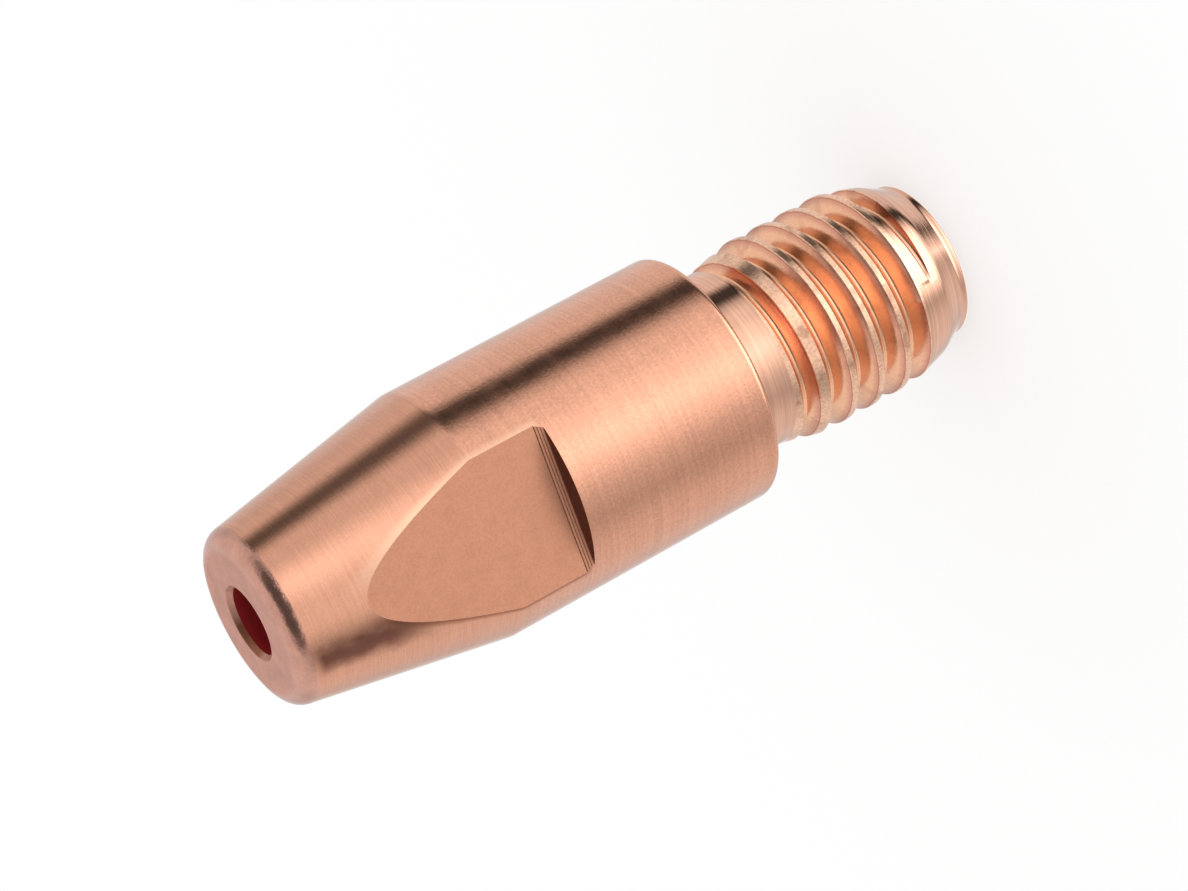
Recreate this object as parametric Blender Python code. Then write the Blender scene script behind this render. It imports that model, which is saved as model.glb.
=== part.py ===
"""Welding contact tip with an M8 thread, 30 mm long, turned from one bar of copper.

The tip stands on its threaded end, with its axis along +Z and the nose up.
The origin is on the axis in the plane of the threaded end.
The two spanner flats face +X and -X. All lengths are in metres.
"""

import math

import bmesh
import bpy
from mathutils import Matrix, Vector

# Lengths along the axis, from the threaded end up
TOTAL_LENGTH = 0.030
THREAD_END_LENGTH = 0.0102
NECK_LENGTH = 0.0017
THREAD_FADE_LENGTH = 0.0017
THREAD_START = 0.0026
LEAD_CONE_LENGTH = 0.00125
CONE_LENGTH = 0.0084

# Outside diameters
BODY_DIAMETER = 0.00985
NOSE_DIAMETER = 0.0068

# Thread, a right-hand M8 x 1.25. Its root, the neck, the lead cone and the end lie this deep under its crests
THREAD_MAJOR_DIAMETER = 0.00796
THREAD_DEPTH = 0.0005
NECK_DEPTH = 0.00041
LEAD_CONE_DEPTH = 0.00036
LEAD_END_DEPTH = 0.00086
THREAD_PITCH = 0.00125
THREAD_CREST_WIDTH = 0.00024
THREAD_FLANK_ANGLE = math.radians(30.0)
THREAD_CREST_AZIMUTH = math.radians(36.0)

# How the thread groove starts over the lead cone and runs out in the neck
GROOVE_START_AZIMUTH = math.radians(-33.0)
GROOVE_START_SWEEP = math.radians(110.0)
GROOVE_END_SWEEP = math.radians(110.0)
GROOVE_LIFT = 0.00005

# Wire bore
BORE_DIAMETER = 0.0027
MOUTH_DIAMETER = 0.0030
MOUTH_DEPTH = 0.00022
LEAD_IN_DIAMETER = 0.0044
LEAD_IN_DEPTH = 0.0016

# Spanner flats
ACROSS_FLATS = 0.0079
FLAT_START = 0.0185
FLAT_FILLET = 0.0003

# The shoulder's seat for the tip holder starts this far outside the thread's crests,
# and inside it the shoulder is dished by this much
SEAT_CLEARANCE = 0.0001
SEAT_RELIEF = 0.00002

# Edges
NOSE_ROUND = 0.00075
SHOULDER_ROUND = 0.00025
NECK_FILLET = 0.00012
END_EDGE = 0.0001
END_LAND = 0.0003

# Fineness of the round shapes
SEGMENTS = 64
ARC_STEPS = 4
ROOT_STEPS = 3

# How far a cutter stands out of what it cuts
CUTTER_MARGIN = 0.0006

COPPER_COLOUR = (0.66, 0.31, 0.205, 1.0)
COPPER_ROUGHNESS = 0.3
SHARP_ANGLE = math.radians(30.0)


def clear_scene():
    for obj in list(bpy.data.objects):
        bpy.data.objects.remove(obj, do_unlink=True)


def copper_material():
    material = bpy.data.materials.new("bare_copper")
    material.use_nodes = True
    shader = material.node_tree.nodes["Principled BSDF"]
    shader.inputs["Base Color"].default_value = COPPER_COLOUR
    shader.inputs["Metallic"].default_value = 1.0
    shader.inputs["Roughness"].default_value = COPPER_ROUGHNESS
    return material


def add_object(name, bm, material=None):
    bmesh.ops.recalc_face_normals(bm, faces=bm.faces)
    mesh = bpy.data.meshes.new(name)
    bm.to_mesh(mesh)
    bm.free()
    if material:
        mesh.materials.append(material)
    obj = bpy.data.objects.new(name, mesh)
    bpy.context.scene.collection.objects.link(obj)
    return obj


def arc(centre, radius, start, end, steps=ARC_STEPS):
    """Points (radius, height) along an arc, from one angle to another, both included."""
    points = []
    for step in range(steps + 1):
        angle = start + (end - start) * step / steps
        points.append((centre[0] + radius * math.cos(angle), centre[1] + radius * math.sin(angle)))
    return points


def major_radius():
    return THREAD_MAJOR_DIAMETER / 2


def root_radius():
    return major_radius() - THREAD_DEPTH


def neck_radius():
    return major_radius() - NECK_DEPTH


def cone_slope():
    """Angle between the cone's side and the axis."""
    return math.atan2((BODY_DIAMETER - NOSE_DIAMETER) / 2, CONE_LENGTH)


def lead_outline():
    """From the lead-in's lip, over the end's edge and up the cone that leads into the thread."""
    end_radius = major_radius() - LEAD_END_DEPTH
    return [
        (end_radius - END_EDGE, 0.0),
        (end_radius, END_EDGE),
        (end_radius, END_LAND),
        (major_radius() - LEAD_CONE_DEPTH, LEAD_CONE_LENGTH),
    ]


def thread_outline():
    """The thread's outside, which grows out of the lead cone and fades into the neck."""
    major = major_radius()
    neck_start = THREAD_END_LENGTH - NECK_LENGTH
    return [
        (major, THREAD_START),
        (major, neck_start - THREAD_FADE_LENGTH),
        (neck_radius(), neck_start),
    ]


def shoulder_outline():
    """From the neck's fillet, out over the dished shoulder to its seat and round its edge."""
    body = BODY_DIAMETER / 2
    inner = (neck_radius() + NECK_FILLET, THREAD_END_LENGTH + SEAT_RELIEF - NECK_FILLET)
    fillet = arc(inner, NECK_FILLET, math.pi, math.pi / 2, 2)
    seat_start = (major_radius() + SEAT_CLEARANCE, THREAD_END_LENGTH)
    edge_round = min(SHOULDER_ROUND, (body - seat_start[0]) / 2)
    edge = arc((body - edge_round, THREAD_END_LENGTH + edge_round), edge_round, -math.pi / 2, 0.0)
    return fillet + [seat_start] + edge


def nose_outline():
    """From the body up the cone, round the nose's edge and in over its face to the bore's mouth."""
    slope = cone_slope()
    base = (BODY_DIAMETER / 2, TOTAL_LENGTH - CONE_LENGTH)
    centre_height = TOTAL_LENGTH - NOSE_ROUND
    cone_radius = NOSE_DIAMETER / 2 + NOSE_ROUND * math.tan(slope)
    centre_radius = cone_radius - NOSE_ROUND / math.cos(slope)
    edge = arc((centre_radius, centre_height), NOSE_ROUND, slope, math.pi / 2, ARC_STEPS + 1)
    return [base] + edge


def bore_outline():
    """From the bore's mouth in the nose, down the bore to the lead-in at the threaded end."""
    return [
        (MOUTH_DIAMETER / 2, TOTAL_LENGTH),
        (BORE_DIAMETER / 2, TOTAL_LENGTH - MOUTH_DEPTH),
        (BORE_DIAMETER / 2, LEAD_IN_DEPTH),
        (LEAD_IN_DIAMETER / 2, 0.0),
    ]


def turned_blank(material):
    """The whole tip before the thread and the flats are cut, as one turned profile."""
    outline = lead_outline() + thread_outline() + shoulder_outline() + nose_outline() + bore_outline()
    bm = bmesh.new()
    verts = [bm.verts.new((radius, 0.0, height)) for radius, height in outline]
    edges = [bm.edges.new((verts[i - 1], verts[i])) for i in range(len(verts))]
    bmesh.ops.spin(
        bm,
        geom=verts + edges,
        axis=(0.0, 0.0, 1.0),
        cent=(0.0, 0.0, 0.0),
        angle=2 * math.pi,
        steps=SEGMENTS,
        use_merge=True,
    )
    return add_object("contact_tip", bm, material)


def crest_height(angle):
    """Height of the crest at an azimuth that counts on through the turns."""
    return THREAD_PITCH * (angle - THREAD_CREST_AZIMUTH) / (2 * math.pi)


def groove_floor(angle, start_angle, end_angle):
    """Radius of the groove's floor: clear of the lead cone, down to the root, then out over the neck."""
    root = root_radius()
    above_lead = major_radius() + GROOVE_LIFT
    above_neck = neck_radius() + GROOVE_LIFT
    going_in = min(max((angle - start_angle) / GROOVE_START_SWEEP, 0.0), 1.0)
    going_out = min(max((angle - end_angle) / GROOVE_END_SWEEP, 0.0), 1.0)
    return root + (above_lead - root) * (1.0 - going_in) + (above_neck - root) * going_out


def groove_outline():
    """The groove's cross-section round its own middle, with its floor at 0: a round root and two flanks."""
    half_top = (THREAD_PITCH - THREAD_CREST_WIDTH) / 2
    flank = THREAD_FLANK_ANGLE
    root_round = (half_top - THREAD_DEPTH * math.tan(flank)) * math.cos(flank) / (1 - math.sin(flank))
    outside = THREAD_DEPTH + CUTTER_MARGIN
    root = arc((root_round, 0.0), root_round, math.pi / 2 + flank, 3 * math.pi / 2 - flank, ROOT_STEPS)
    return [(outside, half_top), (THREAD_DEPTH, half_top)] + root + [(THREAD_DEPTH, -half_top), (outside, -half_top)]


def groove_section(angle, floor):
    """The groove's cross-section at an azimuth, with its floor at a radius."""
    height = crest_height(angle) + THREAD_PITCH / 2
    turn = Matrix.Rotation(angle, 3, "Z")
    return [turn @ Vector((floor + depth, 0.0, height + across)) for depth, across in groove_outline()]


def thread_groove_cutter():
    """A helical bar with the groove's section, from outside the lead cone to over the neck."""
    step = 2 * math.pi / SEGMENTS
    turn = 2 * math.pi
    start_angle = GROOVE_START_AZIMUTH + turn
    neck_start = THREAD_END_LENGTH - NECK_LENGTH
    last_turns = (neck_start - THREAD_PITCH / 2) / THREAD_PITCH
    end_angle = THREAD_CREST_AZIMUTH + turn * last_turns - GROOVE_END_SWEEP / 2
    first = round((start_angle - turn) / step)
    last = round((end_angle + GROOVE_END_SWEEP + turn / 2) / step)
    bm = bmesh.new()
    rows = []
    for index in range(first, last + 1):
        angle = index * step
        floor = groove_floor(angle, start_angle, end_angle)
        rows.append([bm.verts.new(point) for point in groove_section(angle, floor)])
    for row, following in zip(rows, rows[1:]):
        for i in range(len(row)):
            bm.faces.new((row[i - 1], row[i], following[i], following[i - 1]))
    bm.faces.new(rows[0])
    bm.faces.new(reversed(rows[-1]))
    return add_object("thread_groove_cutter", bm)


def flat_cutter(side):
    """A bar that mills one flat, with a small fillet where the flat ends in the body."""
    depth = ACROSS_FLATS / 2
    outside = BODY_DIAMETER / 2 + CUTTER_MARGIN
    fillet_centre = (depth + FLAT_FILLET, FLAT_START + FLAT_FILLET)
    fillet = arc(fillet_centre, FLAT_FILLET, -math.pi / 2, -math.pi)
    top = TOTAL_LENGTH + CUTTER_MARGIN
    outline = [(outside, FLAT_START)] + fillet + [(depth, top), (outside, top)]
    bm = bmesh.new()
    verts = [bm.verts.new((side * x, -outside, z)) for x, z in outline]
    face = bm.faces.new(verts)
    moved = bmesh.ops.extrude_face_region(bm, geom=[face])["geom"]
    moved_verts = [item for item in moved if isinstance(item, bmesh.types.BMVert)]
    bmesh.ops.translate(bm, verts=moved_verts, vec=(0.0, 2 * outside, 0.0))
    name = "flat_cutter_front" if side > 0 else "flat_cutter_back"
    return add_object(name, bm)


def cut(target, cutter):
    """Subtract a cutter, which stays in the file as a wire guide."""
    cutter.hide_render = True
    cutter.display_type = "WIRE"
    modifier = target.modifiers.new(cutter.name, "BOOLEAN")
    modifier.operation = "DIFFERENCE"
    modifier.solver = "EXACT"
    modifier.object = cutter


def shade(obj):
    obj.data.shade_smooth()
    obj.data.set_sharp_from_angle(angle=SHARP_ANGLE)


def build():
    clear_scene()
    tip = turned_blank(copper_material())
    shade(tip)
    cut(tip, thread_groove_cutter())
    for side in (1, -1):
        cut(tip, flat_cutter(side))


build()
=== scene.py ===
"""Welding contact tip: the turned, threaded and milled copper tip with its studio.

Run as a script. Each step of the work is an operator in the sidebar's Contact Tip panel.
"""

import math

import bpy
from bpy.props import FloatProperty, FloatVectorProperty, IntProperty, PointerProperty
from mathutils import Matrix, Vector


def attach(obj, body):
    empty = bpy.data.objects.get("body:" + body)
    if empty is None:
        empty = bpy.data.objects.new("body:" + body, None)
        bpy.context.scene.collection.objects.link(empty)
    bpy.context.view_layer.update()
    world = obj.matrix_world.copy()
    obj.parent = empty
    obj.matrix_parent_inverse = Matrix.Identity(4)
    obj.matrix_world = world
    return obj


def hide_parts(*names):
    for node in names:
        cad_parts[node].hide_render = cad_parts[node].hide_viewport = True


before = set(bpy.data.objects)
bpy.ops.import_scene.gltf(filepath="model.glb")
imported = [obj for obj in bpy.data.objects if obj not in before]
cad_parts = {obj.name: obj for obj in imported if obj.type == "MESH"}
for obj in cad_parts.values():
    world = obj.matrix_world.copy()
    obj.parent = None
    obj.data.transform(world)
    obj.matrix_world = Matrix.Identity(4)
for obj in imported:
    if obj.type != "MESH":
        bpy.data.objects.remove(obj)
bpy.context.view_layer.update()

bl_info = {
    "name": "Welding Contact Tip",
    "version": (1, 0, 0),
    "blender": (4, 5, 0),
    "location": "View3D > Sidebar > Contact Tip",
    "description": "Models a copper welding contact tip and the studio around it",
    "category": "Add Mesh",
}

CAD_NODE = "contact_tip"
TIP_NAME = "turned_contact_tip"
FULL_TURN = 2 * math.pi
MM = 0.001

# Points closer together than this are merged
SAME_POINT = 0.0005 * MM

# Height of the plain end under the lead cone, and how far an outline's arcs are held straight on either side
END_LAND = 0.3 * MM
ARC_STEPS = 6
ARC_SUPPORT = 0.06 * MM

# The thread: the azimuth of a crest at height 0, the slope of its flanks, where along the helix the groove starts,
# how far round it ramps in and out, the cutter's height over the crests, and how far its ends are lifted off
CREST_AZIMUTH = math.radians(36)
FLANK_ANGLE = math.radians(30)
ROOT_STEPS = 12
GROOVE_START = math.radians(-33) + FULL_TURN
RAMP_SWEEP = math.radians(110)
CUTTER_MARGIN = 0.6 * MM
CUTTER_LIFT = 0.05 * MM
SEAM_ANGLE = 0.001

# Fine ledges beside a flat's end wall: height over the flat, and distance from the wall, in millimetres
LEDGES = (
    (0.16, 0.04), (0.12, 0.06), (0.11, 0.14), (0.08, 0.16),
    (0.07, 0.24), (0.04, 0.26), (0.03, 0.34), (0.0, 0.37),
)
MILL_MARGIN = 1.0 * MM

# How a face is told to belong to a finish: by how near its middle is to a surface, by how far the finish
# reaches, and by how much of its normal points along an axis
ON_SURFACE = 0.002 * MM
OFF_SURFACE = 0.01 * MM
IN_GROOVE = 0.02 * MM
LEDGE_REACH = 0.6 * MM
NOSE_REACH = 0.62 * MM
RUN_IN_REACH = 0.2 * MM
SQUARE, NEARLY_SQUARE, LEANING = 0.999, 0.9, 0.7
CREASE_ANGLE = math.radians(28)

# How deep the finishes' fine bumps stand for
BUMP_DEPTH = 0.02 * MM


def length(name, description, default):
    return FloatProperty(name=name, description=description, default=default, unit="LENGTH", precision=5)


def angle(name, description, degrees):
    return FloatProperty(name=name, description=description, default=math.radians(degrees), subtype="ANGLE")


def colour(name, description, default):
    return FloatVectorProperty(
        name=name, description=description, default=default, subtype="COLOR", size=3, min=0, max=1
    )


def share(name, description, default):
    return FloatProperty(name=name, description=description, default=default, subtype="FACTOR", min=0, max=1)


class TipSizes(bpy.types.PropertyGroup):
    """Sizes of the tip, from the threaded end up."""

    total_length: length("Total length", "From the threaded end to the nose", 30.0 * MM)
    shoulder_height: length("Shoulder", "Height of the shoulder over the threaded end", 10.2 * MM)
    neck_length: length("Neck length", "Plain neck under the shoulder", 1.7 * MM)
    fade_length: length("Fade length", "Taper over which the thread fades into the neck", 1.7 * MM)
    thread_start: length("Thread start", "Height at which the thread is full", 2.6 * MM)
    lead_cone_length: length("Lead cone", "Height of the cone that leads into the thread", 1.25 * MM)
    cone_length: length("Cone length", "Taper from the body to the nose", 8.4 * MM)
    body_diameter: length("Body diameter", "Diameter of the round body", 9.85 * MM)
    nose_diameter: length("Nose diameter", "Diameter at the nose before its edge is rounded", 6.8 * MM)
    neck_diameter: length("Neck diameter", "Diameter of the neck", 7.14 * MM)
    end_diameter: length("End diameter", "Diameter of the plain end under the lead cone", 6.24 * MM)
    lead_cone_diameter: length("Lead cone diameter", "Diameter at the top of the lead cone", 7.24 * MM)
    major_diameter: length("Thread diameter", "Diameter over the thread's crests", 7.96 * MM)
    thread_depth: length("Thread depth", "Depth of the thread's rounded root", 0.72 * MM)
    pitch: length("Pitch", "Rise of the thread in one turn", 1.25 * MM)
    crest_width: length("Crest width", "Flat left on top of the thread", 0.24 * MM)
    crest_break: length("Crest break", "Small broken edge on each side of a crest", 0.025 * MM)
    bore_diameter: length("Bore diameter", "Wire bore", 2.7 * MM)
    mouth_diameter: length("Mouth diameter", "Bore's mouth in the nose", 3.0 * MM)
    mouth_depth: length("Mouth depth", "Depth of the mouth's chamfer", 0.22 * MM)
    lead_in_diameter: length("Lead-in diameter", "Wire's lead-in at the threaded end", 4.4 * MM)
    lead_in_depth: length("Lead-in depth", "Depth of the lead-in cone", 1.6 * MM)
    across_flats: length("Across flats", "Distance between the two spanner flats", 7.9 * MM)
    flat_start: length("Flat start", "Height at which the flats end in the body", 18.5 * MM)
    nose_round: length("Nose round", "Radius between the cone and the nose face", 0.75 * MM)
    shoulder_round: length("Shoulder round", "Radius of the shoulder's edge", 0.25 * MM)
    segments: IntProperty(name="Segments", description="Facets in one turn", default=256, min=32)


class TipFinish(bpy.types.PropertyGroup):
    """Colours and roughness of the copper's finishes."""

    copper: colour("Copper", "Bare copper where it is clean", (0.65, 0.32, 0.21))
    # Thread flanks: plain copper outside; the root colour below is painted brighter and oranger, for light bounced
    # between the flanks.
    thread_copper: colour("Thread copper", "Dulled copper of the thread's outer flanks", (0.66, 0.31, 0.215))
    root_painted_bounce_light: colour(
        "Root copper", "Bright rolled copper of the thread's inner flanks and root", (0.85, 0.465, 0.29)
    )
    # Paler copper on the thread's crests, and a painted highlight along one edge of each flat.
    crest_and_highlight_copper: colour(
        "Worn copper", "Copper rubbed bright, on the thread's crests and the flats' edges", (0.78, 0.47, 0.32)
    )
    # Brown for the thread's blots and the nose beside the bore's mouth, and painted shade under the crests and along
    # one edge of each flat.
    tarnish_and_shade: colour("Tarnish", "Brown tarnish in blots and along edges", (0.30, 0.11, 0.06))
    neck_copper: colour("Neck copper", "Finely turned copper of the neck and the threaded end", (0.67, 0.375, 0.262))
    flat_copper: colour("Flat copper", "Milled copper of the spanner flats", (0.565, 0.262, 0.164))
    # Brown for the cone's scuff, and painted shade on the flats' end walls.
    scuff_and_step_shade: colour("Scuff", "Dark brown of the scuff on the cone and of the flats' end walls", (0.23, 0.095, 0.065))
    bore_copper: colour("Bore copper", "Dark red copper inside the wire bore", (0.27, 0.002, 0.004))
    nose_copper: colour("Nose copper", "Faced copper of the nose", (0.58, 0.30, 0.23))
    body_roughness: share("Body roughness", "Roughness of the tumbled body", 0.16)
    flat_roughness: share("Flat roughness", "Roughness of the milled flats", 0.45)


class StudioSettings(bpy.types.PropertyGroup):
    """Camera and light."""

    camera_azimuth: angle("Camera azimuth", "Direction of the camera round the tip", 21.0)
    camera_elevation: angle("Camera elevation", "Height of the camera over the floor", 22.133)
    camera_roll: angle("Camera roll", "Turn of the picture round the camera's axis", 28.595)
    camera_distance: length("Camera distance", "From the camera to the tip's middle", 148.155 * MM)
    aim_right: length("Aim right", "Shift of the aim along the picture's width", -0.044 * MM)
    aim_up: length("Aim up", "Shift of the aim along the picture's height", -0.380 * MM)
    lens: FloatProperty(name="Lens", description="Focal length on a 36 mm sensor", default=122.77, unit="CAMERA")
    floor_size: length("Floor size", "Width of the plain floor", 3.0)
    floor_whiteness: share(
        "Floor whiteness", "How much of the floor is plain white for the camera, which lightens the shadow", 0.6
    )
    light_level: FloatProperty(
        name="Light level", description="Light that shows a colour as it is written", default=1.25
    )


def deselect_all():
    bpy.ops.object.select_all(action="DESELECT")


def edit(obj):
    """Enter edit mode on one object with nothing selected in it."""
    deselect_all()
    bpy.context.view_layer.objects.active = obj
    obj.select_set(True)
    bpy.ops.object.mode_set(mode="EDIT")
    bpy.ops.mesh.select_mode(type="VERT")
    bpy.ops.mesh.select_all(action="DESELECT")


def leave_edit():
    bpy.ops.object.mode_set(mode="OBJECT")


def clear_selection(obj):
    """Leave one object active in object mode, with nothing selected in its mesh."""
    edit(obj)
    leave_edit()


def draw_outline(name, outline):
    """A closed outline in the XZ plane: a plane merged to one point, which is extruded along it."""
    deselect_all()
    bpy.ops.mesh.primitive_plane_add(size=MM, location=(0, 0, 0))
    obj = bpy.context.object
    obj.name = name
    obj.data.name = name
    edit(obj)
    bpy.ops.mesh.select_all(action="SELECT")
    bpy.ops.mesh.merge(type="CENTER")
    x, z = outline[0]
    bpy.ops.transform.translate(value=(x, 0, z))
    for next_x, next_z in outline[1:] + outline[:1]:
        move = {"value": (next_x - x, 0, next_z - z)}
        bpy.ops.mesh.extrude_region_move(TRANSFORM_OT_translate=move)
        x, z = next_x, next_z
    bpy.ops.mesh.select_all(action="SELECT")
    bpy.ops.mesh.remove_doubles(threshold=SAME_POINT)
    leave_edit()
    return obj


def arc(centre, radius, start, end, steps):
    """Points along an arc, from one angle to another, both included."""
    points = []
    for step in range(steps + 1):
        turn = start + (end - start) * step / steps
        points.append((centre[0] + radius * math.cos(turn), centre[1] + radius * math.sin(turn)))
    return points


def rounded(outline, corner_radius):
    """Round an outline's corners by the radius given for each, with a supporting point beside each arc."""
    points = []
    count = len(outline)
    for index, corner in enumerate(outline):
        radius = corner_radius[index]
        if not radius:
            points.append(corner)
            continue
        before, after = Vector(outline[index - 1]), Vector(outline[(index + 1) % count])
        here = Vector(corner)
        back, ahead = (before - here).normalized(), (after - here).normalized()
        half = back.angle(ahead) / 2
        reach = radius / math.tan(half)
        centre = here + (back + ahead).normalized() * (radius / math.sin(half))
        first, last = here + back * reach, here + ahead * reach
        points.append(tuple(first + back * ARC_SUPPORT))
        swing = (first - centre).angle_signed(last - centre)
        for step in range(ARC_STEPS + 1):
            points.append(tuple(centre + (Matrix.Rotation(-swing * step / ARC_STEPS, 2) @ (first - centre))))
        points.append(tuple(last + ahead * ARC_SUPPORT))
    return points


def neck_foot(sizes):
    """Height at which the thread has faded into the neck."""
    return sizes.shoulder_height - sizes.neck_length


def tip_outline(sizes):
    """Half section of the tip before the thread and the flats are cut, as (radius, height)."""
    major, neck, end = sizes.major_diameter / 2, sizes.neck_diameter / 2, sizes.end_diameter / 2
    body, nose, bore = sizes.body_diameter / 2, sizes.nose_diameter / 2, sizes.bore_diameter / 2
    top = sizes.total_length
    # Each corner's radius and height, and how far it is rounded, in millimetres
    corners = [
        (sizes.lead_in_diameter / 2, 0.0, 0.06),
        (end, 0.0, 0.1),
        (end, END_LAND, 0.3),
        (sizes.lead_cone_diameter / 2, sizes.lead_cone_length, 1.0),
        (major, sizes.thread_start, 1.0),
        (major, neck_foot(sizes) - sizes.fade_length, 1.5),
        (neck, neck_foot(sizes), 0.6),
        (neck, sizes.shoulder_height, 0.12),
        (body, sizes.shoulder_height, sizes.shoulder_round / MM),
        (body, top - sizes.cone_length, 1.2),
        (nose, top, sizes.nose_round / MM),
        (sizes.mouth_diameter / 2, top, 0.03),
        (bore, top - sizes.mouth_depth, 0.05),
        (bore, sizes.lead_in_depth, 0.2),
    ]
    outline = [(radius, height) for radius, height, _ in corners]
    return rounded(outline, [corner * MM for _, _, corner in corners])


def turn_blank(sizes):
    """Spin the half section round the axis."""
    blank = draw_outline(TIP_NAME, tip_outline(sizes))
    edit(blank)
    bpy.ops.mesh.select_all(action="SELECT")
    bpy.ops.mesh.spin(steps=sizes.segments, angle=FULL_TURN, center=(0, 0, 0), axis=(0, 0, 1))
    bpy.ops.mesh.select_all(action="SELECT")
    bpy.ops.mesh.remove_doubles(threshold=SAME_POINT)
    bpy.ops.mesh.normals_make_consistent(inside=False)
    leave_edit()
    return blank


def groove_outline(sizes, height):
    """Section of the thread's groove at azimuth 0: straight flanks, a round root and broken edges."""
    major = sizes.major_diameter / 2
    root = major - sizes.thread_depth
    outside = major + CUTTER_MARGIN
    half_top = (sizes.pitch - sizes.crest_width) / 2
    half_floor = half_top - sizes.thread_depth * math.tan(FLANK_ANGLE)
    root_round = half_floor * math.cos(FLANK_ANGLE) / (1 - math.sin(FLANK_ANGLE))
    first, last = math.pi / 2 + FLANK_ANGLE, math.pi * 1.5 - FLANK_ANGLE
    floor = arc((root + root_round, height), root_round, first, last, ROOT_STEPS)
    edge = sizes.crest_break
    flank_end = half_top - edge * math.tan(FLANK_ANGLE)
    return [
        (outside, height + half_top + edge),
        (major, height + half_top + edge / 2),
        (major - edge, height + flank_end),
        *floor,
        (major - edge, height - flank_end),
        (major, height - half_top - edge / 2),
        (outside, height - half_top - edge),
    ]


def thread_angle(sizes, point, start_height):
    """How far along the helix a point lies, counted on through the turns."""
    azimuth = math.atan2(point.y, point.x) % FULL_TURN
    if azimuth > FULL_TURN - SEAM_ANGLE:
        azimuth = 0.0
    rise = point.z - start_height - sizes.pitch * azimuth / FULL_TURN
    return azimuth + FULL_TURN * round(rise / sizes.pitch)


def withdraw(cutter, chosen, radius, new_radius):
    """Draw the chosen sections out from the axis, with the ones before them following in a straight ramp."""
    clear_selection(cutter)
    for vert in cutter.data.vertices:
        vert.select = chosen(vert.co)
    bpy.ops.object.mode_set(mode="EDIT")
    grow = new_radius / radius
    bpy.ops.transform.resize(
        value=(grow, grow, 1.0),
        center_override=(0, 0, 0),
        use_proportional_edit=True,
        use_proportional_connected=True,
        proportional_edit_falloff="LINEAR",
        proportional_size=RAMP_SWEEP * radius,
    )
    leave_edit()


def thread_cutter(sizes):
    """The thread's groove as a helical bar, which starts over the lead cone and runs out over the neck."""
    start_height = sizes.pitch * (0.5 - CREST_AZIMUTH / FULL_TURN)
    turns_to_neck = (neck_foot(sizes) - sizes.pitch / 2) / sizes.pitch
    full_depth_end = CREST_AZIMUTH + FULL_TURN * turns_to_neck - RAMP_SWEEP / 2
    step = FULL_TURN / sizes.segments
    steps = round((full_depth_end + RAMP_SWEEP + math.pi) / step)
    cutter = draw_outline("thread_cutter", groove_outline(sizes, start_height))
    screw = cutter.modifiers.new("turns", "SCREW")
    screw.axis = "Z"
    screw.angle = steps * step
    screw.steps = steps
    screw.render_steps = steps
    screw.screw_offset = sizes.pitch * steps * step / FULL_TURN
    screw.merge_threshold = 0.00001 * MM
    bpy.ops.object.modifier_apply(modifier="turns")
    root = sizes.major_diameter / 2 - sizes.thread_depth

    def before_start(point):
        return thread_angle(sizes, point, start_height) < GROOVE_START

    def after_end(point):
        return thread_angle(sizes, point, start_height) > full_depth_end + RAMP_SWEEP

    withdraw(cutter, before_start, root, sizes.major_diameter / 2 + CUTTER_LIFT)
    withdraw(cutter, after_end, root, sizes.neck_diameter / 2 + CUTTER_LIFT)
    edit(cutter)
    bpy.ops.mesh.select_non_manifold()
    bpy.ops.mesh.fill_holes(sides=0)
    bpy.ops.mesh.select_all(action="SELECT")
    bpy.ops.mesh.normals_make_consistent(inside=False)
    leave_edit()
    return cutter


def cut(target, cutter):
    """Subtract a cutter and take it away."""
    deselect_all()
    bpy.context.view_layer.objects.active = target
    target.select_set(True)
    modifier = target.modifiers.new(cutter.name, "BOOLEAN")
    modifier.operation = "DIFFERENCE"
    modifier.solver = "EXACT"
    modifier.object = cutter
    bpy.ops.object.modifier_apply(modifier=modifier.name)
    bpy.data.objects.remove(cutter, do_unlink=True)


def flat_cutter(sizes, side):
    """A bar that mills one flat and leaves small steps where the cutter's corner ended in the body."""
    depth = sizes.across_flats / 2
    outside = sizes.body_diameter / 2 + MILL_MARGIN
    top = sizes.total_length + MILL_MARGIN
    ledges = [(depth + rise * MM, sizes.flat_start + away * MM) for rise, away in LEDGES]
    outline = [(outside, sizes.flat_start), *ledges, (depth, top), (outside, top)]
    cutter = draw_outline("flat_cutter", [(side * x, z) for x, z in outline])
    edit(cutter)
    bpy.ops.mesh.select_all(action="SELECT")
    bpy.ops.mesh.edge_face_add()
    bpy.ops.transform.translate(value=(0, -outside, 0))
    bpy.ops.mesh.extrude_region_move(TRANSFORM_OT_translate={"value": (0, 2 * outside, 0)})
    bpy.ops.mesh.select_all(action="SELECT")
    bpy.ops.mesh.normals_make_consistent(inside=False)
    leave_edit()
    return cutter


def lead_radius(sizes, height):
    """Radius of the lead cone and of the neck, outside the thread's groove."""
    if height > sizes.thread_start:
        return sizes.neck_diameter / 2
    low, high = (sizes.end_diameter / 2, END_LAND), (sizes.lead_cone_diameter / 2, sizes.lead_cone_length)
    if height > sizes.lead_cone_length:
        low, high = high, (sizes.major_diameter / 2, sizes.thread_start)
    part = max((height - low[1]) / (high[1] - low[1]), 0.0)
    return low[0] + (high[0] - low[0]) * part


ZONES = ("body", "cone", "flat", "flat_step", "nose", "thread", "neck", "bore")


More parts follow.
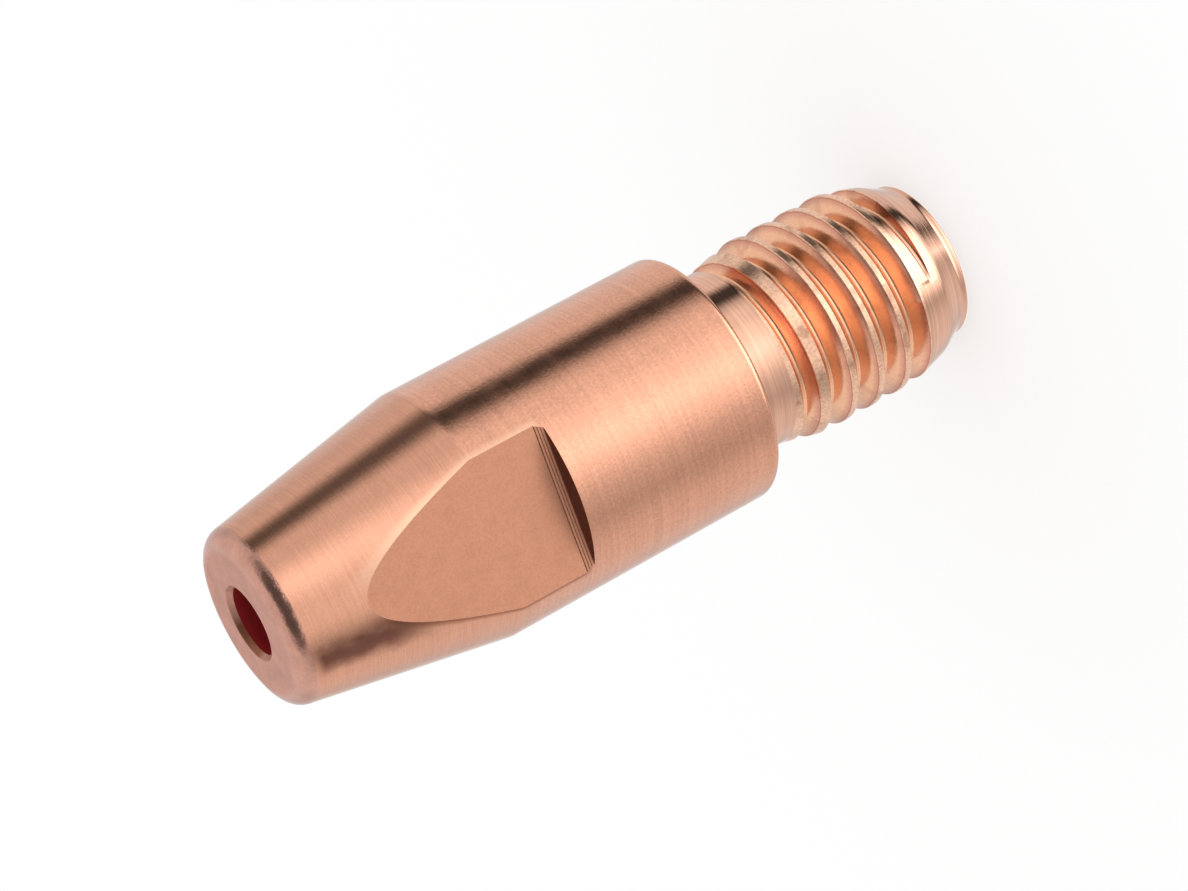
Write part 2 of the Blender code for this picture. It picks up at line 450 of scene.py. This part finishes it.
def zone_of(sizes, centre, normal):
    """Which finish a face has, by its place and the way it faces."""
    radius = math.hypot(centre.x, centre.y)
    from_middle = abs(centre.x)
    half_flats = sizes.across_flats / 2
    top = sizes.total_length
    if radius < sizes.mouth_diameter / 2 and centre.z < top - sizes.mouth_depth:
        return "bore"
    if radius < sizes.lead_in_diameter / 2 and centre.z < sizes.lead_in_depth:
        return "bore"
    if abs(normal.x) > SQUARE and abs(from_middle - half_flats) < ON_SURFACE:
        return "flat"
    near_wall = abs(centre.z - sizes.flat_start) < LEDGE_REACH and from_middle > half_flats
    milled = radius < sizes.body_diameter / 2 - OFF_SURFACE and max(abs(normal.x), abs(normal.z)) > LEANING
    if near_wall and milled:
        return "flat" if abs(normal.x) > NEARLY_SQUARE else "flat_step"
    if centre.z > top - NOSE_REACH:
        return "nose"
    if centre.z > top - sizes.cone_length:
        return "cone"
    if centre.z > sizes.shoulder_height - OFF_SURFACE:
        return "body"
    threaded = sizes.thread_start - RUN_IN_REACH < centre.z < neck_foot(sizes)
    if threaded or radius < lead_radius(sizes, centre.z) - IN_GROOVE:
        return "thread"
    return "neck"


def give_finishes(tip, sizes, finishes):
    for zone in ZONES:
        tip.data.materials.append(finishes[zone])
    for face in tip.data.polygons:
        face.material_index = ZONES.index(zone_of(sizes, face.center, face.normal))


def part_finishes(tip):
    """Smooth the tip, with a sharp crease round each flat."""
    clear_selection(tip)
    for face in tip.data.polygons:
        face.select = face.material_index == ZONES.index("flat")
    bpy.ops.object.mode_set(mode="EDIT")
    bpy.ops.mesh.select_mode(type="FACE")
    bpy.ops.mesh.region_to_loop()
    bpy.ops.mesh.mark_sharp()
    leave_edit()
    bpy.ops.object.shade_smooth_by_angle(angle=CREASE_ANGLE, keep_sharp_edges=True)


class NodeMaker:
    """Short calls to add and join nodes in one tree."""

    def __init__(self, tree):
        self.tree = tree

    def add(self, kind, **settings):
        node = self.tree.nodes.new(kind)
        for name, value in settings.items():
            setattr(node, name, value)
        return node

    def feed(self, socket, value):
        if isinstance(value, bpy.types.NodeSocket):
            self.tree.links.new(value, socket)
        else:
            socket.default_value = value

    def math(self, operation, *values):
        node = self.add("ShaderNodeMath", operation=operation)
        for socket, value in zip(node.inputs, values):
            self.feed(socket, value)
        return node.outputs[0]

    def ramp(self, value, low, high, to_low=0.0, to_high=1.0, smooth=True):
        node = self.add("ShaderNodeMapRange", interpolation_type="SMOOTHSTEP" if smooth else "LINEAR")
        given = {"Value": value, "From Min": low, "From Max": high, "To Min": to_low, "To Max": to_high}
        for name, item in given.items():
            self.feed(node.inputs[name], item)
        return node.outputs["Result"]

    def falling(self, value, low, high):
        """Fall smoothly from 1 to 0 between two values."""
        return self.ramp(value, low, high, 1.0, 0.0)

    def mix(self, factor, first, second):
        node = self.add("ShaderNodeMix", data_type="RGBA")
        self.feed(node.inputs[0], factor)
        self.feed(node.inputs[6], first)
        self.feed(node.inputs[7], second)
        return node.outputs[2]

    def noise(self, vector, scale, detail=2.0, roughness=0.5):
        node = self.add("ShaderNodeTexNoise")
        self.feed(node.inputs["Vector"], vector)
        self.feed(node.inputs["Scale"], scale)
        self.feed(node.inputs["Detail"], detail)
        self.feed(node.inputs["Roughness"], roughness)
        return node.outputs["Fac"]

    def place(self):
        """Where a point lies on the object."""
        return self.add("ShaderNodeTexCoord").outputs["Object"]

    def split(self, vector):
        """X, Y and Z of a vector."""
        node = self.add("ShaderNodeSeparateXYZ")
        self.feed(node.inputs[0], vector)
        return node.outputs

    def radius(self, place):
        """How far a place is from the tip's axis."""
        level = self.add("ShaderNodeMapping")
        self.feed(level.inputs["Vector"], place)
        level.inputs["Scale"].default_value = (1.0, 1.0, 0.0)
        node = self.add("ShaderNodeVectorMath", operation="LENGTH")
        self.feed(node.inputs[0], level.outputs["Vector"])
        return node.outputs["Value"]

    def away_from(self, azimuth, centre):
        """How far an azimuth is from another, on either side."""
        return self.math("ABSOLUTE", self.math("SUBTRACT", azimuth, centre))

    def blend(self, first, share, second):
        """Two tones added by their shares, of which the second is given."""
        return self.math("ADD", self.math("MULTIPLY", first, 1 - share), self.math("MULTIPLY", second, share))


def rgba(value):
    return (*value, 1.0)


def new_group(name, inputs, outputs):
    """A shader node group with named inputs and outputs, each given as name: (kind, default)."""
    group = bpy.data.node_groups.new(name, "ShaderNodeTree")
    for socket_name, (kind, default) in inputs.items():
        socket = group.interface.new_socket(socket_name, in_out="INPUT", socket_type=kind)
        socket.default_value = default
    for socket_name, kind in outputs.items():
        group.interface.new_socket(socket_name, in_out="OUTPUT", socket_type=kind)
    maker = NodeMaker(group)
    return group, maker, maker.add("NodeGroupInput").outputs, maker.add("NodeGroupOutput").inputs


FLOAT = "NodeSocketFloat"


def turning_marks_group():
    """Fine rings that a lathe tool leaves round the axis, uneven in depth and length."""
    group, maker, given, out = new_group(
        "turning_marks",
        {"Rings per mm": (FLOAT, 12.0), "Across per mm": (FLOAT, 0.12)},
        {"Height": FLOAT, "Tone": FLOAT},
    )
    along = maker.math("MULTIPLY", given["Rings per mm"], 1 / MM)
    across = maker.math("MULTIPLY", given["Across per mm"], 1 / MM)
    stretched = maker.add("ShaderNodeCombineXYZ")
    for socket, axis, scale in zip(stretched.inputs, maker.split(maker.place()), (across, across, along)):
        maker.feed(socket, maker.math("MULTIPLY", axis, scale))
    rings = maker.noise(stretched.outputs[0], 1.0, 3.0, 0.6)
    maker.feed(out["Height"], rings)
    maker.feed(out["Tone"], maker.ramp(rings, 0.3, 0.7, smooth=False))
    return group


def tumbled_grain_group():
    """Speckle and short scuffs from tumbling, finer than a tenth of a millimetre, and clouds of them."""
    group, maker, given, out = new_group(
        "tumbled_grain",
        {"Grains per mm": (FLOAT, 9.0)},
        {"Height": FLOAT, "Tone": FLOAT, "Cloud": FLOAT},
    )
    place = maker.place()
    scale = maker.math("MULTIPLY", given["Grains per mm"], 1 / MM)
    fine = maker.noise(place, scale, 3.0, 0.65)
    broad = maker.noise(place, maker.math("MULTIPLY", scale, 0.13), 3.0, 0.6)
    maker.feed(out["Height"], fine)
    maker.feed(out["Tone"], maker.ramp(fine, 0.3, 0.7, smooth=False))
    maker.feed(out["Cloud"], maker.ramp(broad, 0.3, 0.7, smooth=False))
    return group


def use_group(maker, group, **values):
    node = maker.add("ShaderNodeGroup", node_tree=group)
    for name, value in values.items():
        maker.feed(node.inputs[name.replace("_", " ")], value)
    return node.outputs


def bump(maker, height, strength):
    node = maker.add("ShaderNodeBump")
    node.inputs["Strength"].default_value = strength
    node.inputs["Distance"].default_value = BUMP_DEPTH
    maker.feed(node.inputs["Height"], height)
    return node.outputs["Normal"]


def copper_material(name, roughness):
    """A bare metal material, and a maker for its tree."""
    material = bpy.data.materials.new(name)
    material.use_nodes = True
    shader = material.node_tree.nodes["Principled BSDF"]
    shader.inputs["Metallic"].default_value = 1.0
    shader.inputs["Roughness"].default_value = roughness
    return material, shader, NodeMaker(material.node_tree)


def shaded(maker, tone, base, amount):
    """A colour that is darker where the tone is low and lighter where it is high."""
    dark = tuple(channel * (1 - amount) for channel in base)
    light = tuple(min(channel * (1 + amount), 1.0) for channel in base)
    return maker.mix(tone, rgba(dark), rgba(light))


def stained(maker, mask, strength, base, stain):
    """A colour with another one laid over it where a mask is high."""
    return maker.mix(maker.math("MULTIPLY", mask, strength), base, rgba(stain))


def beside_flat(maker, sizes):
    """Masks of painted shade along one edge of each flat and of a painted highlight along its other edge."""
    x, y, z = maker.split(maker.place())
    across = maker.math("MULTIPLY", y, maker.math("SIGN", x))
    out = maker.math("SUBTRACT", sizes.across_flats / 2, maker.math("ABSOLUTE", x))
    after_wall = maker.ramp(z, sizes.flat_start, sizes.flat_start + 0.5 * MM)
    near, far = 0.3 * MM, 1.2 * MM
    one_side, other_side = maker.falling(across, -far, -near), maker.ramp(across, near, far)
    darkened = maker.math("MULTIPLY", maker.falling(out, 0.0, 0.16 * MM), one_side)
    bright = maker.math("MULTIPLY", maker.falling(out, 0.0, 0.22 * MM), other_side)
    return maker.math("MULTIPLY", darkened, after_wall), maker.math("MULTIPLY", bright, after_wall)


def brown_scuff(maker, grain):
    """A brown tarnished patch on the cone, between the flat's lower edge and the nose, with a ragged edge."""
    x, y, z = maker.split(maker.place())
    azimuth = maker.math("MULTIPLY_ADD", grain["Cloud"], math.radians(5), maker.math("ARCTAN2", y, x))
    across = maker.falling(maker.away_from(azimuth, math.radians(-19)), math.radians(1), math.radians(14))
    fade_in = maker.ramp(z, 24.4 * MM, 26.6 * MM)
    fade_out = maker.falling(z, 29.0 * MM, 29.4 * MM)
    return maker.math("MULTIPLY", across, maker.math("MULTIPLY", fade_in, fade_out))


def body_colour(maker, finish, sizes, tone, amount):
    """Copper with its tone, with painted shade along one edge of each flat and a painted highlight along the other.
    """
    darkened, bright = beside_flat(maker, sizes)
    # Painted highlight along one edge of each flat, then painted shade along the other.
    copper = stained(maker, bright, 0.8, shaded(maker, tone, finish.copper, amount), finish.crest_and_highlight_copper)
    return stained(maker, darkened, 0.9, copper, finish.tarnish_and_shade)


def body_finish(finish, groups, sizes):
    """Tumbled: speckled and clouded over faint rings."""
    material, shader, maker = copper_material("tumbled_copper_body", finish.body_roughness)
    grain = use_group(maker, groups["grain"], Grains_per_mm=9.0)
    rings = use_group(maker, groups["rings"], Rings_per_mm=10.0)
    tone = maker.blend(grain["Tone"], 0.4, rings["Tone"])
    maker.feed(shader.inputs["Base Color"], body_colour(maker, finish, sizes, tone, 0.2))
    least, most = finish.body_roughness - 0.03, finish.body_roughness + 0.05
    maker.feed(shader.inputs["Roughness"], maker.ramp(grain["Cloud"], 0.0, 1.0, least, most, smooth=False))
    height = maker.math("ADD", grain["Height"], maker.math("MULTIPLY", rings["Height"], 0.5))
    maker.feed(shader.inputs["Normal"], bump(maker, height, 0.2))
    return material


def cone_finish(finish, groups, sizes):
    """Turned: finer and shorter rings than on the body, and the brown scuff."""
    material, shader, maker = copper_material("turned_copper_cone", finish.body_roughness)
    grain = use_group(maker, groups["grain"], Grains_per_mm=9.0)
    rings = use_group(maker, groups["rings"], Rings_per_mm=16.0, Across_per_mm=0.7)
    tone = maker.blend(grain["Tone"], 0.6, rings["Tone"])
    copper = body_colour(maker, finish, sizes, tone, 0.13)
    maker.feed(shader.inputs["Base Color"], maker.mix(brown_scuff(maker, grain), copper, rgba(finish.scuff_and_step_shade)))
    height = maker.math("ADD", maker.math("MULTIPLY", grain["Height"], 0.5), rings["Height"])
    maker.feed(shader.inputs["Normal"], bump(maker, height, 0.2))
    return material


def flat_finish(finish, groups):
    """Milled: even and dull, with a fine grain."""
    material, shader, maker = copper_material("milled_copper_flat", finish.flat_roughness)
    grain = use_group(maker, groups["grain"], Grains_per_mm=12.0)
    tone = maker.blend(grain["Tone"], 0.3, grain["Cloud"])
    maker.feed(shader.inputs["Base Color"], shaded(maker, tone, finish.flat_copper, 0.12))
    maker.feed(shader.inputs["Normal"], bump(maker, grain["Height"], 0.16))
    return material


def flat_step_finish(finish, groups):
    """The end wall of each flat: painted dark brown for the shade in its step."""
    material, shader, maker = copper_material("tarnished_copper_step", 0.4)
    grain = use_group(maker, groups["grain"], Grains_per_mm=12.0)
    maker.feed(shader.inputs["Base Color"], shaded(maker, grain["Tone"], finish.scuff_and_step_shade, 0.4))
    return material


def nose_finish(finish, groups, sizes):
    """The faced nose and its rounded edge: pinkish, clouded, and brown on one side of the bore's mouth."""
    material, shader, maker = copper_material("faced_copper_nose", 0.5)
    grain = use_group(maker, groups["grain"], Grains_per_mm=10.0)
    place = maker.place()
    x, y, z = maker.split(place)
    radius = maker.radius(place)
    mouth = sizes.mouth_diameter / 2
    rim = maker.ramp(radius, mouth - 0.02 * MM, mouth + 0.04 * MM, 0.9, 0.0)
    away = maker.away_from(maker.math("ARCTAN2", y, x), math.radians(-135))
    brown = maker.math("MULTIPLY", rim, maker.ramp(away, math.radians(25), math.radians(42), 1.0, 0.12))
    copper = shaded(maker, maker.blend(grain["Tone"], 0.6, grain["Cloud"]), finish.nose_copper, 0.16)
    maker.feed(shader.inputs["Base Color"], maker.mix(brown, copper, rgba(finish.tarnish_and_shade)))
    face = sizes.nose_diameter / 2 - sizes.nose_round
    maker.feed(shader.inputs["Roughness"], maker.ramp(radius, face, face + 0.5 * MM, 0.5, 0.2))
    height = maker.math("ADD", grain["Height"], maker.math("MULTIPLY", grain["Cloud"], 3.0))
    maker.feed(shader.inputs["Normal"], bump(maker, height, 0.25))
    return material


def thread_depth(maker, place, sizes):
    """How deep a point lies under the thread's outline, which falls at both of its ends."""
    x, y, z = maker.split(place)
    major, neck, lead = sizes.major_diameter / 2, sizes.neck_diameter / 2, sizes.lead_cone_diameter / 2
    foot = neck_foot(sizes)
    fall = maker.ramp(z, foot - sizes.fade_length, foot, 0.0, major - neck, smooth=False)
    rise = maker.ramp(z, sizes.lead_cone_length, sizes.thread_start, major - lead, 0.0, smooth=False)
    outline = maker.math("SUBTRACT", major, maker.math("ADD", fall, rise))
    return maker.math("SUBTRACT", outline, maker.radius(place))


def thread_finish(finish, groups, sizes):
    """Rolled copper: painted brighter and oranger deeper in the groove for light bounced between the flanks, paler on
    the crests, with a painted shade line under each.
    """
    material, shader, maker = copper_material("rolled_copper_thread", 0.22)
    grain = use_group(maker, groups["grain"], Grains_per_mm=9.0)
    place = maker.place()
    blot = maker.ramp(maker.noise(place, 0.9 / MM, 3.0, 0.6), 0.52, 0.7)
    ragged = maker.math("SUBTRACT", maker.noise(place, 4.0 / MM, 2.0, 0.5), 0.5)
    depth = maker.math("MULTIPLY_ADD", ragged, -0.05 * MM, thread_depth(maker, place, sizes))
    crest = maker.falling(depth, 0.02 * MM, 0.045 * MM)
    # Painted shade: a darker line just under each crest's edge, laid on with the tarnish colour.
    under = maker.math("MULTIPLY", maker.falling(depth, 0.05 * MM, 0.09 * MM), maker.math("SUBTRACT", 1.0, crest))
    flank = shaded(maker, grain["Tone"], finish.thread_copper, 0.06)
    root = shaded(maker, grain["Tone"], finish.root_painted_bounce_light, 0.06)
    # Painted bounce light: the colour turns brighter and oranger deeper in the groove.
    rolled = maker.mix(maker.ramp(depth, 0.08 * MM, 0.32 * MM), flank, root)
    rolled = stained(maker, blot, 0.25, rolled, finish.tarnish_and_shade)
    rolled = stained(maker, under, 0.6, rolled, finish.tarnish_and_shade)
    crest_colour = stained(maker, blot, 0.45, shaded(maker, grain["Tone"], finish.crest_and_highlight_copper, 0.2), finish.tarnish_and_shade)
    maker.feed(shader.inputs["Base Color"], maker.mix(crest, rolled, crest_colour))
    maker.feed(shader.inputs["Roughness"], maker.ramp(grain["Cloud"], 0.0, 1.0, 0.15, 0.25))
    maker.feed(shader.inputs["Normal"], bump(maker, grain["Height"], 0.15))
    return material


def neck_finish(finish, groups):
    """Finely turned: almost polished, with rings."""
    material, shader, maker = copper_material("turned_copper_neck", 0.09)
    rings = use_group(maker, groups["rings"], Rings_per_mm=12.0)
    maker.feed(shader.inputs["Base Color"], shaded(maker, rings["Tone"], finish.neck_copper, 0.16))
    maker.feed(shader.inputs["Normal"], bump(maker, rings["Height"], 0.3))
    return material


def bore_finish(finish, groups):
    """Dark red and dull, as light that bounces down a copper bore makes it."""
    material, shader, maker = copper_material("drawn_copper_bore", 0.6)
    shader.inputs["Metallic"].default_value = 0.2
    rings = use_group(maker, groups["rings"], Rings_per_mm=6.0)
    maker.feed(shader.inputs["Base Color"], shaded(maker, rings["Tone"], finish.bore_copper, 0.2))
    maker.feed(shader.inputs["Normal"], bump(maker, rings["Height"], 0.1))
    return material


def studio_panel_group():
    """Mask of a soft-edged panel in the sky, from its azimuth, half width and height range, in radians."""
    names = ("Azimuth", "Elevation", "Centre", "Half width", "Softness", "Low", "High", "Height softness")
    group, maker, given, out = new_group("studio_panel", {name: (FLOAT, 0.0) for name in names}, {"Mask": FLOAT})

    def edges(middle, softness):
        soft = given[softness]
        return maker.math("SUBTRACT", given[middle], soft), maker.math("ADD", given[middle], soft)

    across = maker.falling(maker.away_from(given["Azimuth"], given["Centre"]), *edges("Half width", "Softness"))
    above = maker.ramp(given["Elevation"], *edges("Low", "Height softness"))
    below = maker.falling(given["Elevation"], *edges("High", "Height softness"))
    maker.feed(out["Mask"], maker.math("MULTIPLY", across, maker.math("MULTIPLY", above, below)))
    return group


# Panels round the tip, as the metal sees them: azimuth from the camera, half width, softness,
# lowest and highest elevation and its softness, in degrees, and how much light the panel adds or takes
STUDIO_PANELS = {
    "key softbox low": (-3, 20, 24, -90, -12, 6, 1.03),
    "key fill low": (38, 20, 12, -90, -12, 6, 0.24),
    "key softbox high": (16, 16, 16, -11, 14, 4, 0.72),
    "fill high": (-30, 25, 14, -11, 14, 4, 0.20),
    "black flag low": (79, 13, 8, -90, -12, 6, -0.93),
    "flag feather low": (60, 6, 8, -90, -12, 6, -0.22),
    "black flag high": (83, 13, 10, -12, 12, 6, -0.85),
    "upper card high": (140, 30, 20, -12, 16, 8, -0.22),
    "upper card low": (158, 12, 12, -90, -12, 8, -0.20),
    "side card low": (-66, 14, 22, -90, -12, 8, -0.32),
    "lower card low": (-155, 14, 14, -90, -12, 8, -0.22),
    "side card high": (-70, 17, 22, -12, 12, 8, -0.52),
    "lower card high": (-155, 20, 16, -12, 16, 8, -0.25),
    "overhead": (0, 70, 30, 16, 74, 12, -0.85),
    "thread fill": (0, 45, 20, -62, -34, 4, 1.9),
}

# However much the dark panels take away, this much light is left
DARKEST_PANEL = 0.02


def studio_world(studio):
    """White for the camera, even light for the floor, and soft panels for what the metal mirrors."""
    world = bpy.data.worlds.new("soft_studio")
    bpy.context.scene.world = world
    world.cycles.sampling_method = "NONE"
    world.use_nodes = True
    tree = world.node_tree
    tree.nodes.clear()
    maker = NodeMaker(tree)
    panel = studio_panel_group()
    turned = maker.add("ShaderNodeMapping")
    maker.feed(turned.inputs["Vector"], maker.add("ShaderNodeTexCoord").outputs["Generated"])
    turned.inputs["Rotation"].default_value = (0, 0, -studio.camera_azimuth)
    x, y, z = maker.split(turned.outputs[0])
    azimuth, elevation = maker.math("ARCTAN2", y, x), maker.math("ARCSINE", z)
    mirrored = 1.0
    for name, (*shape, amount) in STUDIO_PANELS.items():
        node = maker.add("ShaderNodeGroup", node_tree=panel, label=name)
        given = (azimuth, elevation, *(math.radians(value) for value in shape))
        for socket, value in zip(node.inputs, given):
            maker.feed(socket, value)
        mirrored = maker.math("MULTIPLY_ADD", node.outputs["Mask"], amount, mirrored)
    mirrored = maker.math("MAXIMUM", mirrored, DARKEST_PANEL)
    path = maker.add("ShaderNodeLightPath")
    glossy, camera = path.outputs["Is Glossy Ray"], path.outputs["Is Camera Ray"]
    light = maker.math("ADD", maker.math("MULTIPLY", glossy, mirrored), maker.math("SUBTRACT", 1.0, glossy))
    light = maker.math("MULTIPLY", light, studio.light_level)
    light = maker.math("ADD", camera, maker.math("MULTIPLY", light, maker.math("SUBTRACT", 1.0, camera)))
    background = maker.add("ShaderNodeBackground")
    maker.feed(background.inputs["Strength"], light)
    output = maker.add("ShaderNodeOutputWorld")
    tree.links.new(background.outputs[0], output.inputs[0])


def studio_floor(studio):
    """A plain white floor under the threaded end, which takes the tip's soft shadow."""
    deselect_all()
    bpy.ops.mesh.primitive_plane_add(size=studio.floor_size, location=(0, 0, 0))
    floor = bpy.context.object
    floor.name = "studio_floor"
    floor.visible_glossy = False
    material = bpy.data.materials.new("white_floor")
    material.use_nodes = True
    tree = material.node_tree
    shader = tree.nodes["Principled BSDF"]
    shader.inputs["Base Color"].default_value = (1.0, 1.0, 1.0, 1.0)
    shader.inputs["Roughness"].default_value = 1.0
    shader.inputs["Specular IOR Level"].default_value = 0.0
    maker = NodeMaker(tree)
    path = maker.add("ShaderNodeLightPath").outputs
    seen = maker.math("MAXIMUM", path["Is Camera Ray"], path["Is Transmission Ray"])
    seen = maker.math("MAXIMUM", seen, path["Is Glossy Ray"])
    white = maker.add("ShaderNodeEmission")
    blend = maker.add("ShaderNodeMixShader")
    maker.feed(blend.inputs[0], maker.math("MULTIPLY", seen, studio.floor_whiteness))
    tree.links.new(shader.outputs[0], blend.inputs[1])
    tree.links.new(white.outputs[0], blend.inputs[2])
    tree.links.new(blend.outputs[0], tree.nodes["Material Output"].inputs["Surface"])
    floor.data.materials.append(material)


def studio_camera(studio, sizes):
    """The camera looks down at the tip's middle, with the picture rolled to put the nose at the lower left."""
    turn = Matrix.Rotation(studio.camera_azimuth, 3, "Z")
    towards = Vector((math.cos(studio.camera_elevation), 0, math.sin(studio.camera_elevation)))
    axis_in_picture = (Vector((0, 0, 1)) - towards.z * towards).normalized()
    right = -axis_in_picture
    up = towards.cross(right)
    roll = studio.camera_roll
    picture_x = math.cos(roll) * right - math.sin(roll) * up
    picture_y = math.sin(roll) * right + math.cos(roll) * up
    aim = Vector((0, 0, sizes.total_length / 2)) + studio.aim_right * picture_x + studio.aim_up * picture_y
    place = aim + studio.camera_distance * towards
    columns = [turn @ axis for axis in (picture_x, picture_y, towards)]
    data = bpy.data.cameras.new("studio_camera")
    data.sensor_fit = "HORIZONTAL"
    data.sensor_width = 36.0
    data.lens = studio.lens
    data.clip_start = 0.005
    data.clip_end = 10.0
    camera = bpy.data.objects.new("studio_camera", data)
    bpy.context.scene.collection.objects.link(camera)
    camera.matrix_world = Matrix.Translation(turn @ place) @ Matrix(columns).transposed().to_4x4()
    bpy.context.scene.camera = camera


class CONTACT_TIP_OT_blank(bpy.types.Operator):
    """Turn the blank from its half section"""

    bl_idname = "contact_tip.blank"
    bl_label = "Turn Blank"

    def execute(self, context):
        turn_blank(context.scene.tip_sizes)
        return {"FINISHED"}


class CONTACT_TIP_OT_thread(bpy.types.Operator):
    """Cut the thread into the blank"""

    bl_idname = "contact_tip.thread"
    bl_label = "Cut Thread"

    def execute(self, context):
        cut(bpy.data.objects[TIP_NAME], thread_cutter(context.scene.tip_sizes))
        return {"FINISHED"}


class CONTACT_TIP_OT_flats(bpy.types.Operator):
    """Mill the two spanner flats"""

    bl_idname = "contact_tip.flats"
    bl_label = "Mill Flats"

    def execute(self, context):
        for side in (1, -1):
            cut(bpy.data.objects[TIP_NAME], flat_cutter(context.scene.tip_sizes, side))
        return {"FINISHED"}


class CONTACT_TIP_OT_finish(bpy.types.Operator):
    """Give each part of the tip its copper finish"""

    bl_idname = "contact_tip.finish"
    bl_label = "Finish Copper"

    def execute(self, context):
        sizes, finish = context.scene.tip_sizes, context.scene.tip_finish
        groups = {"rings": turning_marks_group(), "grain": tumbled_grain_group()}
        finishes = {
            "body": body_finish(finish, groups, sizes),
            "cone": cone_finish(finish, groups, sizes),
            "flat": flat_finish(finish, groups),
            "flat_step": flat_step_finish(finish, groups),
            "nose": nose_finish(finish, groups, sizes),
            "thread": thread_finish(finish, groups, sizes),
            "neck": neck_finish(finish, groups),
            "bore": bore_finish(finish, groups),
        }
        tip = bpy.data.objects[TIP_NAME]
        give_finishes(tip, sizes, finishes)
        part_finishes(tip)
        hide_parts(CAD_NODE)
        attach(tip, "root")
        return {"FINISHED"}


class CONTACT_TIP_OT_studio(bpy.types.Operator):
    """Set up the floor, the light and the camera"""

    bl_idname = "contact_tip.studio"
    bl_label = "Set Up Studio"

    def execute(self, context):
        studio = context.scene.tip_studio
        studio_world(studio)
        studio_floor(studio)
        studio_camera(studio, context.scene.tip_sizes)
        context.scene.view_settings.view_transform = "Standard"
        return {"FINISHED"}


class CONTACT_TIP_PT_panel(bpy.types.Panel):
    """Steps and sizes of the contact tip"""

    bl_idname = "CONTACT_TIP_PT_panel"
    bl_label = "Contact Tip"
    bl_space_type = "VIEW_3D"
    bl_region_type = "UI"
    bl_category = "Contact Tip"

    def draw(self, context):
        for step in STEPS:
            self.layout.operator(step.bl_idname)
        for group in (context.scene.tip_sizes, context.scene.tip_finish, context.scene.tip_studio):
            box = self.layout.box()
            for name in group.__annotations__:
                box.prop(group, name)


STEPS = (
    CONTACT_TIP_OT_blank,
    CONTACT_TIP_OT_thread,
    CONTACT_TIP_OT_flats,
    CONTACT_TIP_OT_finish,
    CONTACT_TIP_OT_studio,
)
CLASSES = (TipSizes, TipFinish, StudioSettings, *STEPS, CONTACT_TIP_PT_panel)


def register():
    for item in CLASSES:
        bpy.utils.register_class(item)
    bpy.types.Scene.tip_sizes = PointerProperty(type=TipSizes)
    bpy.types.Scene.tip_finish = PointerProperty(type=TipFinish)
    bpy.types.Scene.tip_studio = PointerProperty(type=StudioSettings)


def unregister():
    del bpy.types.Scene.tip_studio
    del bpy.types.Scene.tip_finish
    del bpy.types.Scene.tip_sizes
    for item in reversed(CLASSES):
        bpy.utils.unregister_class(item)


def main():
    register()
    bpy.ops.contact_tip.blank()
    bpy.ops.contact_tip.thread()
    bpy.ops.contact_tip.flats()
    bpy.ops.contact_tip.finish()
    bpy.ops.contact_tip.studio()


if __name__ == "__main__":
    main()
